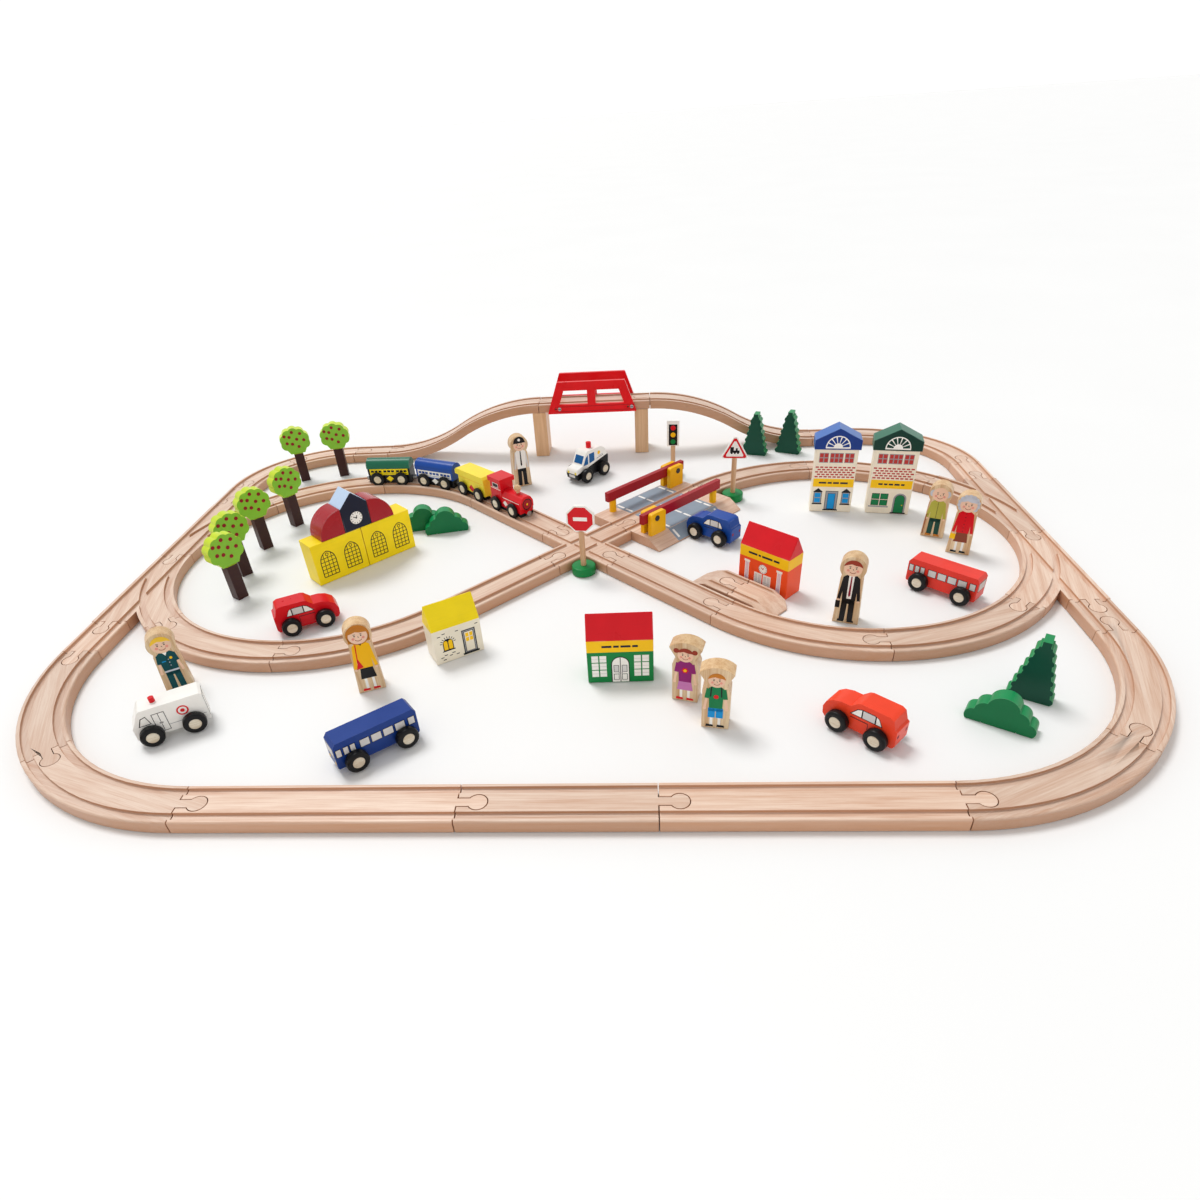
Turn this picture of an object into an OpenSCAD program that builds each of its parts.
/* [Track] */
// Width of every track piece
track_w = 40; // [38:0.5:42]
// Thickness of every track piece
track_h = 12; // [11:0.5:13]
// Width of a wheel groove
groove_w = 6.6; // [6:0.2:7]
// Depth of a wheel groove
groove_d = 3; // [2:0.5:4]
// Distance between the centre lines of the two grooves
gauge = 26; // [25:0.5:27]
// Seam between two neighbouring pieces
seam = 0.8; // [0.4:0.1:1.2]
// Diameter of the round head of a connector peg
peg_d = 15; // [13:0.5:16]
// Clearance round a peg in its socket
peg_play = 0.7; // [0.4:0.1:1]

/* [Layout] */
// Centre line radius of a large curve
curve_r = 212; // [208:1:218]
// Centre line radius of a small curve
small_r = 130; // [125:1:135]
// Half of the length of the crossing
cross_half = 58; // [56:1:60]
// Length of a short straight
short_len = 55; // [50:1:60]
// Length of the bridge deck
deck_len = 166; // [160:1:172]

/* [Bridge] */
// Height of a bridge post
post_h = 67; // [62:1:70]
// Width of a bridge post
post_w = 20; // [18:1:24]
// Height of a side panel
panel_h = 46; // [42:1:50]
// Thickness of a side panel
panel_t = 5; // [4:0.5:6]

/* [Level crossing] */
// Half of the width of the flat top of the base
apron_half = 48; // [46:1:50]
// Width of the slope outside the flat top
slope_w = 18; // [16:1:24]
// Height of a gate post above the base
gate_h = 28; // [26:1:32]
// Width of a gate post along the rails
gate_w = 25; // [22:1:28]
// Length of a barrier
barrier_len = 141; // [120:1:144]
// Height of a barrier
barrier_h = 12; // [10:0.5:13]
// Thickness of a barrier
barrier_t = 6; // [5:0.5:6]
// Diameter of the bolt that a barrier turns on
gate_bolt_d = 4; // [3:0.5:5]

/* [Wheels] */
// Diameter of every wheel
wheel_d = 20; // [18:0.5:21]
// Thickness of a road wheel
road_tyre_t = 7.5; // [5:0.5:8]
// Thickness of a train wheel
rail_tyre_t = 4.2; // [3.8:0.1:4.6]
// Diameter of an axle
axle_d = 3; // [2.5:0.5:4]
// Radial clearance of an axle in its bore
axle_play = 0.08; // [0.04:0.01:0.1]

/* [Vehicles] */
// Width of every vehicle body
body_w = 20; // [18:0.5:20.4]
// Distance between the axles of a car
car_base = 35; // [33:1:37]
// Distance between the axles of a bus
bus_base = 45; // [43:1:47]
// Length of a coach
coach_len = 63; // [60:1:66]
// Distance between the middles of two coupled vehicles
train_pitch = 75; // [74:0.5:78]

/* [Scenery] */
// Depth of a house block
block_d = 26; // [22:1:28]
// Thickness of trees and bushes
board_t = 14; // [11:0.5:16]
// Thickness of a figure
figure_t = 15; // [12:0.5:18]

/* [Hidden] */
$fn = 64;

// Plan of the closed circuit, with the middle of the crossing at (0, 0)
r2 = sqrt(2);
arm = curve_r - cross_half;              // length of a medium straight
side_x = curve_r * (1 + r2);             // centre lines of the outer straights
loop_x = curve_r * r2;                   // middles of the two inner loops
leg = curve_r / r2;                      // straight leg of a switch
row_len = 2 * loop_x;                    // front row between the corner curves
long_len = (row_len - arm) / 2;
turn_y = leg + short_len;                // where the corner curves begin
front_y = -turn_y - curve_r;
back_y = turn_y + small_r;
ramp_len = side_x - small_r - short_len - deck_len / 2;
// The origin is moved from the crossing to the middle of the whole set's base
rear_reach = back_y + track_w / 2 + panel_t;
front_reach = -front_y + track_w / 2;
shift_y = (front_reach - rear_reach) / 2;

edge_r = 1.8;                            // rounding along the top edges of the track
foot_c = 0.7;                            // chamfer along the lower edges
peg_reach = 16;                          // from a seam to the middle of a peg's head
peg_neck = 8;                            // width of a peg's neck
deep = 0.01;                             // overlap that makes two shapes one
beech = "#e3c19c";
pale_beech = "#ecd3b2";

// ---------- shared helpers ----------

// Points of an arc round (cx, cy)
function arc(cx, cy, r, a0, a1, n) =
    [for (i = [0:n]) let (a = a0 + (a1 - a0) * i / n) [cx + r * cos(a), cy + r * sin(a)]];

// Point on the inner left loop at angle a, measured at the loop's middle
function loop_point(r, a) = [-loop_x + r * cos(a), r * sin(a)];

// Moves the children to (x, y) and turns them to a heading
module at(x, y, heading = 0, z = 0) {
    translate([x, y, z]) rotate([0, 0, heading]) children();
}

// Puts a plan drawn round the crossing into the frame of the whole set
module in_set() {
    translate([0, shift_y, 0]) children();
}

// A side view, x forward and y up, made into a body that stands across the heading
module side_block(width) {
    translate([0, width / 2, 0]) rotate([90, 0, 0]) linear_extrude(width) children();
}

// A front view, x to the right and y up, made into a board with its front face at y = 0
module board(thickness) {
    translate([0, thickness, 0]) rotate([90, 0, 0]) linear_extrude(thickness) children();
}

// ---------- track ----------

// Cross-section of a blank: x across, y up
module blank_section() {
    h = track_h;
    w = track_w / 2;
    polygon(concat(
        [[-w, foot_c], [-w + foot_c, 0], [w - foot_c, 0], [w, foot_c]],
        arc(w - edge_r, h - edge_r, edge_r, 0, 90, 3),
        arc(-w + edge_r, h - edge_r, edge_r, 90, 180, 3)
    ));
}

// Cross-section of the two grooves, cut from above
module groove_section() {
    for (side = [-1, 1])
        translate([side * gauge / 2 - groove_w / 2, track_h - groove_d])
            polygon([
                [0.8, 0], [groove_w - 0.8, 0], [groove_w, 0.8], [groove_w, groove_d + 1],
                [0, groove_d + 1], [0, 0.8]
            ]);
}

// Straight sweep of a section from the seam along +X
module straight_sweep(len, over = 0) {
    translate([len - seam / 2 + over, 0, 0]) rotate([90, 0, -90])
        linear_extrude(len - seam + 2 * over) children();
}

// Sweep of a section round a left-hand arc that starts at the origin along +X
module arc_sweep(r, angle, over = 0) {
    trim = (seam / 2 - over) / r * 180 / PI;
    translate([0, r, 0]) rotate([0, 0, trim - 90])
        rotate_extrude(angle = angle - 2 * trim, $fn = 180) translate([r, 0]) children();
}

// Round-headed peg that leaves a seam along +X
module peg(h = track_h) {
    translate([-seam / 2 - 1, -peg_neck / 2, 0]) cube([peg_reach + 1, peg_neck, h]);
    translate([peg_reach, 0, 0]) cylinder(d = peg_d, h = h);
}

// Cutter for the socket that takes a peg, measured inwards along +X
module socket() {
    translate([-1, -peg_neck / 2 - peg_play, -1])
        cube([peg_reach, peg_neck + 2 * peg_play, track_h + 2]);
    translate([peg_reach, 0, -1]) cylinder(d = peg_d + 2 * peg_play, h = track_h + 2);
}

// Straight piece from the origin along +X: a socket or a peg at each end
module straight_track(len, start_peg = false, end_peg = true) {
    difference() {
        straight_sweep(len) blank_section();
        straight_sweep(len, 1) groove_section();
        if (!start_peg) socket();
        if (!end_peg) at(len, 0, 180) socket();
    }
    if (start_peg) at(0, 0, 180) peg();
    if (end_peg) at(len, 0) peg();
}

// Left-hand curve of 45 degrees from the origin along +X
module curve_track(r) {
    difference() {
        arc_sweep(r, 45) blank_section();
        arc_sweep(r, 45, 1) groove_section();
        socket();
    }
    translate([0, r, 0]) rotate([0, 0, 45]) translate([0, -r, 0]) peg();
}

// Outline of a switch from its single end along +X: a straight leg and a left-hand branch
module switch_plan() {
    w = track_w / 2;
    s = seam / 2;
    fork = acos((curve_r - w) / (curve_r + w));
    trim = s / curve_r * 180 / PI;
    polygon(concat(
        [[s, -w], [leg - s, -w], [leg - s, w]],
        arc(0, curve_r, curve_r + w, fork - 90, -45 - trim, 6),
        arc(0, curve_r, curve_r - w, -45 - trim, trim - 90, 20)
    ));
}

// Plan of one groove of the branch, which starts where it parts from the straight one
module branch_groove_plan(r) {
    start = 3 - 90;
    finish = 46 - 90;
    polygon(concat(
        arc(0, curve_r, r + groove_w / 2, start, finish, 20),
        arc(0, curve_r, r - groove_w / 2, finish, start, 20)
    ));
}

module switch_track(start_peg) {
    difference() {
        linear_extrude(track_h) switch_plan();
        straight_sweep(leg, 1) groove_section();
        for (side = [-1, 1])
            translate([0, 0, track_h - groove_d]) linear_extrude(groove_d + 1)
                branch_groove_plan(curve_r + side * gauge / 2);
        if (!start_peg) socket();
    }
    if (start_peg) at(0, 0, 180) peg();
    at(leg, 0) peg();
    translate([0, curve_r, 0]) rotate([0, 0, 45]) translate([0, -curve_r, 0]) peg();
}

module straights_long() {
    color(beech) in_set() {
        at(-row_len / 2, front_y) straight_track(long_len);
        at(row_len / 2 - long_len, front_y) straight_track(long_len);
    }
}

module straights_medium() {
    color(beech) in_set() {
        at(-arm / 2, front_y) straight_track(arm);
        for (heading = [135, 225, 315])
            rotate([0, 0, heading]) at(curve_r, 0, 180) straight_track(arm);
    }
}

module straights_short() {
    color(beech) in_set() {
        for (side = [-1, 1]) {
            at(side * side_x, -turn_y, 90) straight_track(short_len, side < 0, false);
            at(side * side_x, leg, 90) straight_track(short_len);
        }
        at(-side_x + small_r, back_y) straight_track(short_len);
        at(side_x - small_r, back_y, 180) straight_track(short_len);
    }
}

// Two curves in a row from (x, y); mirrored ones turn to the right
module curve_pair(x, y, heading, r, mirrored = false) {
    for (i = [0, 1])
        at(x, y, heading) mirror([0, mirrored ? 1 : 0, 0])
            translate([0, r, 0]) rotate([0, 0, 45 * i]) translate([0, -r, 0]) curve_track(r);
}

module large_curves() {
    color(beech) in_set() {
        curve_pair(loop_x, front_y, 0, curve_r);
        curve_pair(-side_x, -turn_y, -90, curve_r);
        // the inner loops, from each switch's branch to the straight beside the crossing
        for (side = [0, 1], end = [0, 1])
            mirror([side, 0, 0]) mirror([0, end, 0]) curve_pair(-loop_x - leg, -leg, -45, curve_r);
    }
}

module small_curves() {
    color(beech) in_set() {
        curve_pair(side_x, turn_y, 90, small_r);
        curve_pair(-side_x, turn_y, 90, small_r, true);
    }
}

module switches() {
    color(beech) in_set()
        for (side = [0, 1], end = [0, 1])
            mirror([side, 0, 0]) mirror([0, end, 0]) at(-side_x, 0, -90) switch_track(end == 1);
}

module crossing() {
    color(beech) in_set() {
        difference() {
            for (heading = [45, -45])
                rotate([0, 0, heading]) translate([-cross_half, 0, 0])
                    straight_sweep(2 * cross_half) blank_section();
            for (heading = [45, -45])
                rotate([0, 0, heading]) translate([-cross_half, 0, 0])
                    straight_sweep(2 * cross_half, 1) groove_section();
            for (heading = [135, 225, 315]) rotate([0, 0, heading]) at(cross_half, 0, 180) socket();
        }
        rotate([0, 0, 45]) at(cross_half, 0) peg();
    }
}

// ---------- raised track and bridge ----------

climb = 2 * atan(post_h / ramp_len);     // angle that each half of the S-curve turns through
climb_r = ramp_len / sin(climb) / 2;     // radius of each half along the underside
climb_steps = 12;

function reversed(v) = [for (i = [len(v) - 1:-1:0]) v[i]];

// Side view of the line that lies z above the S-curve's underside, from foot to top
function climb_line(z, over) = concat(
    [[-over, z]],
    [for (i = [1:climb_steps]) let (a = climb * i / climb_steps)
        [(climb_r - z) * sin(a), climb_r - (climb_r - z) * cos(a)]],
    [for (i = [climb_steps - 1:-1:1]) let (a = climb * i / climb_steps)
        [ramp_len - (climb_r + z) * sin(a), post_h - climb_r + (climb_r + z) * cos(a)]],
    [[ramp_len + over, post_h + z]]
);

// Solid between two such lines
module climb_block(width, low, high, over) {
    side_block(width) polygon(concat(climb_line(low, over), reversed(climb_line(high, over))));
}

// Rising S-curve from the origin along +X: socket at the foot, peg at the top
module ascending_track() {
    difference() {
        climb_block(track_w, 0, track_h, -seam / 2);
        for (side = [-1, 1])
            translate([0, side * gauge / 2, 0])
                climb_block(groove_w, track_h - groove_d, track_h + 1, 1);
        socket();
    }
    at(ramp_len, 0, 0, post_h) peg();
}

module ascending_tracks() {
    foot = side_x - small_r - short_len;
    color(beech) in_set() {
        at(-foot, back_y) ascending_track();
        at(foot, back_y, 180) ascending_track();
    }
}

module bridge_deck() {
    color(beech) in_set() at(-deck_len / 2, back_y, 0, post_h)
        straight_track(deck_len, false, false);
}

// The posts stop just short of the deck, clear of the rising track's hollow underside
module bridge_posts() {
    color(pale_beech) in_set()
        for (x = [-deck_len / 2, deck_len / 2 - 13])
            translate([x - post_w / 2, back_y - track_w / 2, 0])
                cube([post_w, track_w, post_h - 0.25]);
}

// Trapezoid side panel with two windows and a routed line along its lower bar
module bridge_panel() {
    foot_half = 65.5;
    top_half = 49;
    lower_bar = 13;
    upper_bar = 12.5;
    frame_w = 13;
    mid_half = 6;
    slant = (foot_half - top_half) / panel_h;
    function inner(y) = foot_half - slant * y - frame_w;
    difference() {
        board(panel_t) polygon([
            [-foot_half, 0], [foot_half, 0], [foot_half, 1.5], [top_half + 1, panel_h - 1],
            [top_half, panel_h], [-top_half, panel_h], [-top_half - 1, panel_h - 1], [-foot_half, 1.5]
        ]);
        for (side = [-1, 1])
            translate([0, -1, 0]) board(panel_t + 2) polygon([
                [side * mid_half, lower_bar], [side * inner(lower_bar), lower_bar],
                [side * inner(panel_h - upper_bar), panel_h - upper_bar],
                [side * mid_half, panel_h - upper_bar]
            ]);
        for (side = [-1, 1])
            translate([side * (foot_half - 12), -1, 7]) rotate([-90, 0, 0])
                cylinder(d = 3.6, h = panel_t + 2);
    }
}

module bridge_panels() {
    color("#d8232a") in_set() {
        translate([-3, back_y - track_w / 2 - panel_t, post_h - 1]) bridge_panel();
        translate([-3, back_y + track_w / 2, post_h - 1]) bridge_panel();
    }
}

// ---------- level crossing ----------
// Drawn along +X from its first seam, then turned to lie on the diagonal beyond the crossing

pivot_in = 16;                           // from the first seam to a barrier's bolt
gate_in = 6;                             // from the first seam to a gate post
gate_gap = 7;                            // slot between the two halves of a post
slab_t = 5.5;                            // thickness of one half of a post
gate_off = 39;                           // from the rails' centre line to a barrier
rest_in = 129;                           // from the first seam to a rest
rest_h = gate_h - barrier_h;
rest_d = 9;
pivot_z = track_h + gate_h - 7;
counter_len = pivot_in + 2;              // short end of a barrier beyond its bolt

// Both ends of the crossing are alike, so what stands on it is drawn once and turned
module crossing_halves() {
    children();
    translate([arm, 0, 0]) rotate([0, 0, 180]) children();
}

module on_crossing() {
    in_set() rotate([0, 0, 45]) translate([cross_half, 0, 0]) children();
}

module level_crossing_base() {
    reach = apron_half + slope_w;
    color(beech) on_crossing() difference() {
        translate([seam / 2, 0, 0]) rotate([90, 0, 90]) linear_extrude(arm - seam) polygon([
            [-reach, 0], [reach, 0], [reach, 1.2], [apron_half, track_h],
            [-apron_half, track_h], [-reach, 1.2]
        ]);
        straight_sweep(arm, 1) groove_section();
        socket();
        at(arm, 0, 180) socket();
    }
}

// Two slabs of one post and the rest for the other barrier's tip
module gate_set() {
    for (side = [-1, 1])
        difference() {
            translate([gate_in, -gate_off + side * (gate_gap + slab_t) / 2 - slab_t / 2, track_h])
                board(slab_t) polygon(concat(
                    [[0, 0], [gate_w, 0]],
                    arc(gate_w - 3, gate_h - 3, 3, 0, 90, 4), arc(3, gate_h - 3, 3, 90, 180, 4)
                ));
            translate([pivot_in, -gate_off, pivot_z]) rotate([90, 0, 0])
                cylinder(d = gate_bolt_d, h = 4 * slab_t, center = true);
        }
    translate([rest_in, -gate_off, track_h]) cylinder(d = rest_d, h = rest_h - 0.3);
}

module gate_posts() {
    color("#f4c20d") on_crossing() crossing_halves() gate_set();
}

module gate_bolts() {
    span = gate_gap + 2 * slab_t;
    color("#3b3b3d") on_crossing() crossing_halves()
        translate([pivot_in, -gate_off, pivot_z]) rotate([90, 0, 0]) {
            cylinder(d = gate_bolt_d, h = span, center = true);
            for (side = [-1, 1])
                translate([0, 0, side * (span / 2 + 0.6)])
                    cylinder(d = gate_bolt_d + 3, h = 1.2, center = true);
        }
}

module barrier() {
    color("#b3202c") difference() {
        translate([pivot_in - counter_len, -gate_off - barrier_t / 2, track_h + rest_h])
            cube([barrier_len, barrier_t, barrier_h]);
        translate([pivot_in, -gate_off, pivot_z]) rotate([90, 0, 0])
            cylinder(d = gate_bolt_d + 2 * axle_play, h = 2 * barrier_t, center = true);
    }
}

module left_barrier() {
    on_crossing() barrier();
}

module right_barrier() {
    on_crossing() translate([arm, 0, 0]) rotate([0, 0, 180]) barrier();
}

// ---------- station ramps ----------

ramp_piece = 55;                         // length of one wedge
ramp_side = 44;                          // from the rails' centre line to the wedges' one

// Wedge that starts at full height and runs out to a thin toe along +X
module end_ramp(with_peg) {
    toe = 1.5;
    flat = 30;
    corner = 9;
    w = track_w / 2;
    difference() {
        intersection() {
            straight_sweep(ramp_piece) blank_section();
            side_block(track_w + 2) polygon([
                [0, 0], [ramp_piece, 0], [ramp_piece, toe], [flat, track_h], [flat, track_h + 1],
                [0, track_h + 1]
            ]);
            linear_extrude(track_h + 1) polygon([
                [0, -w], [ramp_piece - corner, -w], [ramp_piece, -w + corner],
                [ramp_piece, w - corner], [ramp_piece - corner, w], [0, w]
            ]);
        }
        straight_sweep(ramp_piece, 1) groove_section();
        if (!with_peg) socket();
    }
    if (with_peg) at(0, 0, 180) peg();
}

module station_ramps() {
    color(beech) in_set() rotate([0, 0, -45]) translate([197, ramp_side, 0]) {
        end_ramp(true);
        rotate([0, 0, 180]) end_ramp(false);
    }
}

// ---------- scenery ----------

tree_places = [
    [-396, -84, 57], [-413, -30, 50], [-414, 38, 47], [-397, 102, 54], [-440, 256, 25], [-384, 270, 15]
];
crown_r = 13;                            // radius of each of a crown's five side lobes

// Scalloped crown, centred on its own middle
module crown_shape() {
    lobes = 7;
    circle(r = 14);
    for (i = [0:lobes - 1]) {
        a = -20 + i * 220 / (lobes - 1);
        translate([13.5 * cos(a), 1 + 12 * sin(a)]) circle(r = 7.6);
    }
    polygon([[-20, 0], [-10, -17], [10, -17], [20, 0]]);
}

module apple_trees() {
    trunk = 13;
    crown_t = board_t - 1.5;
    crown_z = 60;
    in_set() for (p = tree_places)
        at(p.x, p.y, p.z) {
            color("#7cc242") translate([0, -crown_t / 2, crown_z]) board(crown_t) crown_shape();
            color("#3a2622") translate([-trunk / 2, -trunk / 2, 0]) cube([trunk, trunk, crown_z - 17.4]);
        }
}

pine_places = [[238, 295, -20], [288, 297, -25], [402, -285, -31]];
bush_places = [[-215.6, 78.8, 13], [-184.2, 69.3, 13], [364, -320, -32]];

// Layered fir with wavy sides and a small stump on top
module pine_shape() {
    tiers = 5;
    h = 56;
    polygon([[-17, 0], [17, 0], [5, h], [-5, h]]);
    for (i = [0:tiers], side = [-1, 1])
        translate([side * (15.2 - i * 2.15), 3.3 + i * 9.4]) circle(r = 3.3);
    translate([-3.5, h - 4]) square([7, 9]);
}

// Mound of five lobes with a flat foot
module bush_shape() {
    intersection() {
        union() {
            translate([0, 19]) circle(r = 13.5);
            translate([0, 8]) circle(r = 16);
            for (side = [-1, 1]) {
                translate([side * 13, 12.5]) circle(r = 9.5);
                translate([side * 21.5, 5]) circle(r = 8);
            }
        }
        translate([-30, 0]) square([60, 40]);
    }
}

module evergreens() {
    color("#0f6b3a") in_set() {
        for (p = pine_places) at(p.x, p.y, p.z) translate([0, -board_t / 2, 0]) board(board_t) pine_shape();
        for (p = bush_places) at(p.x, p.y, p.z) translate([0, -board_t / 2, 0]) board(board_t) scale(0.94) bush_shape();
    }
}

sign_plate_t = 4;
sign_base_h = 10;
sign_base_d = 27.5;
sign_pole_d = 6.5;

// Green foot and natural pole that reaches to the foot of the plate
module sign_stand(pole_top) {
    color("#0c8a3e") difference() {
        cylinder(d = sign_base_d, h = sign_base_h);
        translate([0, 0, 3]) cylinder(d = sign_pole_d, h = sign_base_h);
    }
    color(beech) translate([0, 0, 3]) cylinder(d = sign_pole_d, h = pole_top - 3);
}

module stop_sign(heading) {
    at(0.2, -48.5, heading) {
        sign_stand(53);
        color("white") translate([0, -sign_plate_t / 2, 68]) board(sign_plate_t)
            rotate(22.5) circle(d = 34, $fn = 8);
    }
}

module traffic_light(heading) {
    at(113.5, 225, heading) {
        sign_stand(43);
        color("white") translate([-8.5, -sign_plate_t / 2, 43]) cube([17, sign_plate_t, 36]);
    }
}

module warning_sign(heading) {
    at(189, 137, heading) {
        sign_stand(57);
        color("white") translate([0, -sign_plate_t / 2, 57]) board(sign_plate_t)
            polygon([[-15, 0], [15, 0], [16.5, 2.5], [1.8, 28.5], [-1.8, 28.5], [-16.5, 2.5]]);
    }
}

module signs() {
    in_set() {
        stop_sign(-8);
        traffic_light(-4);
        warning_sign(-6);
    }
}

// ---------- figures ----------
// Each place is x, y, heading, height, and whether the head is the wide one of a child

figures = [
    [-385, -250, 31, 65, 0], [-192, -255.5, 22, 75, 0], [-103, 210, 24, 73, 0], [273, -158, -20, 75, 0],
    [413.5, 21, -25, 66, 0], [429, -21.5, -25, 72, 0], [105.5, -277.5, -16, 63, 1], [128.5, -314.5, -11, 64, 1]
];

module figure_shape(h, child) {
    head_r = 12.5;
    if (child)
        polygon(concat(
            [[-11.5, 0], [11.5, 0], [11.8, h - 24], [8.5, h - 16.5], [14.5, h - 6.5]],
            arc(0, h - 21, 21, 46.4, 133.6, 8),
            [[-14.5, h - 6.5], [-8.5, h - 16.5], [-11.8, h - 24]]
        ));
    else {
        translate([0, h - head_r]) circle(r = head_r);
        polygon([[-12.5, 0], [12.5, 0], [10.5, h - 24], [8.5, h - 20], [-8.5, h - 20], [-10.5, h - 24]]);
    }
}

module people() {
    color(pale_beech) in_set()
        for (f = figures)
            at(f[0], f[1], f[2]) translate([0, -figure_t / 2, 0]) board(figure_t)
                figure_shape(f[3], f[4] == 1);
}

// ---------- houses ----------
// Each block stands on the middle of its front edge; x runs along the front

gable_wall = 47;                         // wall height of the school and the station

// Plain block with a pitched roof of its own along the front
module gable_house(w, wall, roof) {
    rotate([90, 0, 90]) translate([0, 0, -w / 2]) linear_extrude(w)
        polygon([[0, 0], [block_d, 0], [block_d, wall], [block_d / 2, wall + roof], [0, wall]]);
}

module school() {
    color("#0f7a45") in_set() at(46, -256, 1.3) gable_house(61, gable_wall, 22);
}

module house() {
    color("#efe3c6") in_set() at(-113.5, -212, 31.9) gable_house(50, 38, 24);
}

module train_station() {
    color("#f0592a") in_set() at(196, -98.5, -43.3) gable_house(62, gable_wall, 22);
}

// Tall block with a wider roof block whose gable faces the front
module town_house(w, wall) {
    roof_w = w + 5;
    translate([-w / 2, 0, 0]) cube([w, block_d - 4, wall]);
    translate([0, -1.5, wall]) board(block_d - 1) polygon([
        [-roof_w / 2, 0], [roof_w / 2, 0], [roof_w / 2, 12], [0, 26.5], [-roof_w / 2, 12]
    ]);
}

module post_office() {
    color("#efe3c6") in_set() at(307, 90, -8.1) town_house(50, 82);
}

module bank() {
    color("#efe3c6") in_set() at(375, 79.5, -11.2) town_house(51, 82);
}

shed_block_w = 65;
shed_h = 50.5;
shed_d = 28;
shed_clock_w = 34;
shed_round_r = 30;

// Two yellow blocks side by side, topped by a clock gable between two quarter-rounds
module engine_shed() {
    in_set() at(-307, -65.5, 45.7) {
        for (i = [0, 1])
            color("#f6d21c") translate([i * shed_block_w + (i == 0 ? 0 : 0.4), 0, 0])
                cube([shed_block_w - 0.4, shed_d, shed_h]);
        translate([63, 0, shed_h + 0.2]) {
            color("#1b2233") board(shed_d) polygon([
                [-shed_clock_w / 2, 0], [shed_clock_w / 2, 0], [shed_clock_w / 2, 29], [0, 45],
                [-shed_clock_w / 2, 29]
            ]);
            for (side = [-1, 1])
                color("#a82031") translate([side * (shed_clock_w / 2 + 0.3), 0, 0]) board(shed_d)
                    intersection() {
                        circle(r = shed_round_r);
                        translate([side > 0 ? 0 : -shed_round_r, 0]) square(shed_round_r);
                    }
        }
    }
}

// ---------- vehicles ----------
// Every vehicle is drawn pointing along +X, with the floor under it at z = 0

// Distance from the middle of a vehicle to the inner face of a wheel
road_in = body_w / 2 + 0.8;
rail_in = gauge / 2 - rail_tyre_t / 2;
axle_z = wheel_d / 2;

// One axle with its two wheels
module wheelset(x, inner, tyre_t) {
    span = 2 * (inner + tyre_t);
    color("#1c1c1e") translate([x, 0, axle_z]) rotate([90, 0, 0]) {
        cylinder(d = axle_d, h = span, center = true);
        for (side = [-1, 1])
            translate([0, 0, side * (inner + tyre_t / 2)])
                cylinder(d = wheel_d, h = tyre_t, center = true);
    }
}

// Bores for the two axles
module axle_bores(base) {
    for (x = [-base / 2, base / 2])
        translate([x, 0, axle_z]) rotate([90, 0, 0])
            cylinder(d = axle_d + 2 * axle_play, h = body_w + 10, center = true);
}

module car_body() {
    difference() {
        side_block(body_w) polygon([
            [-32, 8], [-30, 5], [31, 5], [33.5, 8], [34, 15], [31.5, 21], [25.5, 25.5], [18, 27.5],
            [10, 27.5], [4, 33], [1, 34], [-24, 34], [-27.5, 32], [-30, 24], [-32, 22.5]
        ]);
        axle_bores(car_base);
    }
}

module bus_body() {
    difference() {
        side_block(body_w) polygon([
            [-36, 7], [-35, 5.5], [37, 5.5], [38, 7], [38, 28], [35, 32], [-33.5, 32], [-36, 29]
        ]);
        axle_bores(bus_base);
    }
}

module police_body() {
    difference() {
        union() {
            side_block(body_w) polygon([
                [-31, 6], [31, 6], [33, 8], [33, 19], [31, 21.5], [21, 24], [13.5, 39], [10, 42],
                [-17, 42], [-24, 38], [-32, 25]
            ]);
            translate([-3, 0, 42 - deep]) cylinder(d = 7.5, h = 8);
        }
        axle_bores(car_base);
    }
}

module ambulance_body() {
    difference() {
        union() {
            side_block(body_w) polygon([
                [-31, 6], [29, 6], [30, 7], [30, 19], [27.5, 23], [22.5, 33], [20, 35], [-29, 35],
                [-31, 33]
            ]);
            translate([8, 0, 35 - deep]) cylinder(d = 5, h = 5);
        }
        axle_bores(car_base);
    }
}

coupler_z = 8;
coupler_tip = train_pitch / 2 - 0.9;     // the couplers of two neighbours almost touch

// Round coupler stubs, which start inside the body
module couplers() {
    for (side = [-1, 1])
        translate([side * (coupler_tip - 9), 0, coupler_z]) rotate([0, side * 90, 0])
            cylinder(d = 7, h = 9);
}

module engine_body() {
    len = coach_len;
    difference() {
        union() {
            // footplate and boiler with a flattened top, then the cab and its roof
            translate([-len / 2, -body_w / 2, 4]) cube([len, body_w, 12]);
            translate([len / 2 + 2.5, 0, 0]) rotate([90, 0, -90]) linear_extrude(40) polygon([
                [-10, 15], [10, 15], [10, 23], [6.5, 29], [3, 30.5], [-3, 30.5], [-6.5, 29], [-10, 23]
            ]);
            translate([-len / 2 + 2, -body_w / 2, 15]) cube([23, body_w, 25]);
            translate([-len / 2, -body_w / 2 - 2, 39]) cube([27, body_w + 4, 6]);
            translate([17, 0, 29]) cylinder(d = 4, h = 8);
            translate([17, 0, 37]) sphere(d = 9.5);
            couplers();
        }
        axle_bores(car_base);
    }
}

module tender_body() {
    len = coach_len;
    difference() {
        union() {
            translate([-len / 2 + 3, -body_w / 2, 5]) cube([len - 6, body_w, 26]);
            side_block(body_w + 5) polygon([
                [-len / 2, 29], [len / 2, 29], [len / 2, 34], [len / 2 - 3, 37], [3 - len / 2, 37],
                [-len / 2, 34]
            ]);
            couplers();
        }
        axle_bores(car_base);
    }
}

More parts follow.
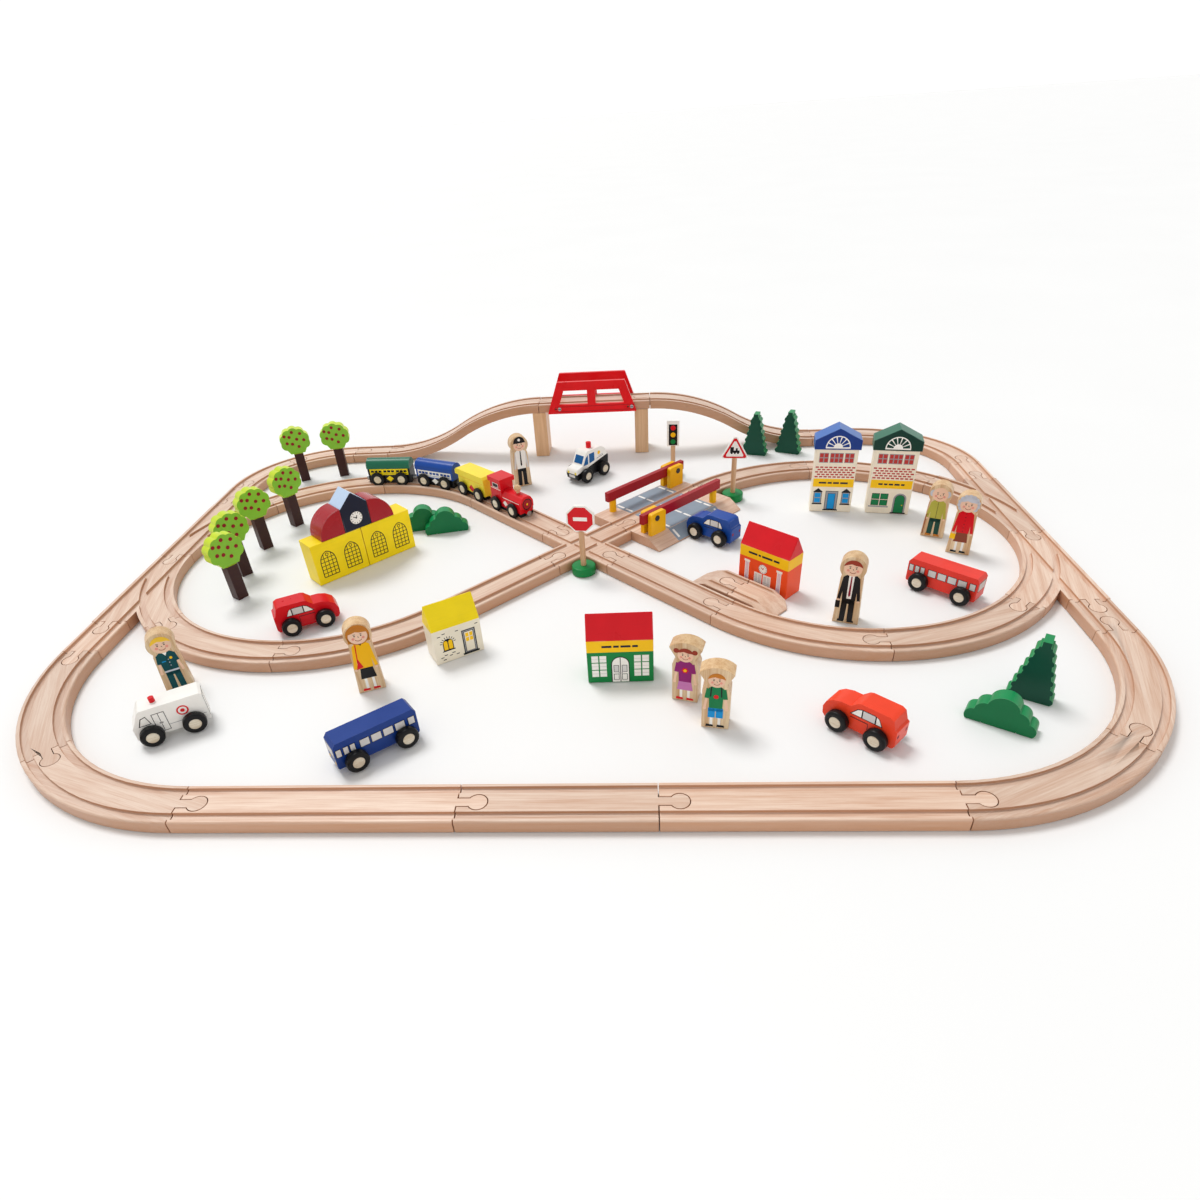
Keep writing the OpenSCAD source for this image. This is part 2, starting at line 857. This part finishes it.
// Coach with a rounded roof that overhangs its lower frame a little
module coach_body() {
    len = coach_len;
    roof_r = 12;
    roof_w = 22;
    difference() {
        union() {
            translate([-len / 2 + 0.5, -body_w / 2, 4]) cube([len - 1, body_w, 24]);
            translate([-len / 2, 0, 0]) rotate([90, 0, 90]) linear_extrude(len) intersection() {
                translate([0, 25]) circle(r = roof_r);
                translate([-roof_w / 2, 25]) square([roof_w, 13]);
            }
            couplers();
        }
        axle_bores(car_base);
    }
}

// Places of the vehicles round the crossing: x, y, heading
rail_z = track_h - groove_d + 0.1;       // train wheels stand in the grooves
engine_at = [-144 / r2, 144 / r2, -45];
red_car_at = [-293.1, -145, 29];
orange_car_at = [250.2, -327.3, 137];
blue_car_at = [155, 27.5, 140];
police_at = [-8, 231, 229];
ambulance_at = [-357, -313.5, 211];
blue_bus_at = [-161.5, -343, 219];
red_bus_at = [384.5, -110, 137];

// Angle round the inner left loop of the coach that follows by i places
function coach_angle(i) = 45 + (144 + i * train_pitch - curve_r) / curve_r * 180 / PI;
coach_r = sqrt(curve_r * curve_r - car_base * car_base / 4);

module place(p, z = 0) {
    in_set() at(p.x, p.y, p.z, z) children();
}

// Coach i behind the engine: on the loop, facing back along it towards the crossing
module place_coach(i) {
    p = loop_point(coach_r, coach_angle(i));
    place([p.x, p.y, coach_angle(i) - 90], rail_z) children();
}

module rail_wheels(x) {
    wheelset(x, rail_in, rail_tyre_t);
}

module road_wheels(x) {
    wheelset(x, road_in, road_tyre_t);
}

module engine() {
    color("#d3202c") place(engine_at, rail_z) engine_body();
}

module tender() {
    color("#f7dd3c") place_coach(1) tender_body();
}

module blue_coach() {
    color("#1c4aa0") place_coach(2) coach_body();
}

module green_coach() {
    color("#0d4a3a") place_coach(3) coach_body();
}

module red_car() {
    color("#d8202e") place(red_car_at) car_body();
}

module orange_car() {
    color("#e84a27") place(orange_car_at) car_body();
}

module blue_car() {
    color("#1b3d94") place(blue_car_at) car_body();
}

module police_car() {
    color("#f3f1ea") place(police_at) police_body();
}

module ambulance() {
    color("#f3f1ea") place(ambulance_at) ambulance_body();
}

module blue_bus() {
    color("#1b2f86") place(blue_bus_at) bus_body();
}

module red_bus() {
    color("#e5412b") place(red_bus_at) bus_body();
}

straights_long();
straights_medium();
straights_short();
large_curves();
small_curves();
switches();
crossing();
ascending_tracks();
bridge_deck();
bridge_posts();
bridge_panels();
level_crossing_base();
gate_posts();
gate_bolts();
left_barrier();
right_barrier();
station_ramps();
apple_trees();
evergreens();
signs();
people();
school();
house();
post_office();
bank();
train_station();
engine_shed();
engine();
place(engine_at, rail_z) rail_wheels(car_base / 2);  // engine_front_wheels
place(engine_at, rail_z) rail_wheels(-car_base / 2);  // engine_rear_wheels
tender();
place_coach(1) rail_wheels(car_base / 2);  // tender_front_wheels
place_coach(1) rail_wheels(-car_base / 2);  // tender_rear_wheels
blue_coach();
place_coach(2) rail_wheels(car_base / 2);  // blue_coach_front_wheels
place_coach(2) rail_wheels(-car_base / 2);  // blue_coach_rear_wheels
green_coach();
place_coach(3) rail_wheels(car_base / 2);  // green_coach_front_wheels
place_coach(3) rail_wheels(-car_base / 2);  // green_coach_rear_wheels
red_car();
place(red_car_at) road_wheels(car_base / 2);  // red_car_front_wheels
place(red_car_at) road_wheels(-car_base / 2);  // red_car_rear_wheels
orange_car();
place(orange_car_at) road_wheels(car_base / 2);  // orange_car_front_wheels
place(orange_car_at) road_wheels(-car_base / 2);  // orange_car_rear_wheels
blue_car();
place(blue_car_at) road_wheels(car_base / 2);  // blue_car_front_wheels
place(blue_car_at) road_wheels(-car_base / 2);  // blue_car_rear_wheels
police_car();
place(police_at) road_wheels(car_base / 2);  // police_car_front_wheels
place(police_at) road_wheels(-car_base / 2);  // police_car_rear_wheels
ambulance();
place(ambulance_at) road_wheels(car_base / 2);  // ambulance_front_wheels
place(ambulance_at) road_wheels(-car_base / 2);  // ambulance_rear_wheels
blue_bus();
place(blue_bus_at) road_wheels(bus_base / 2);  // blue_bus_front_wheels
place(blue_bus_at) road_wheels(-bus_base / 2);  // blue_bus_rear_wheels
red_bus();
place(red_bus_at) road_wheels(bus_base / 2);  // red_bus_front_wheels
place(red_bus_at) road_wheels(-bus_base / 2);  // red_bus_rear_wheels
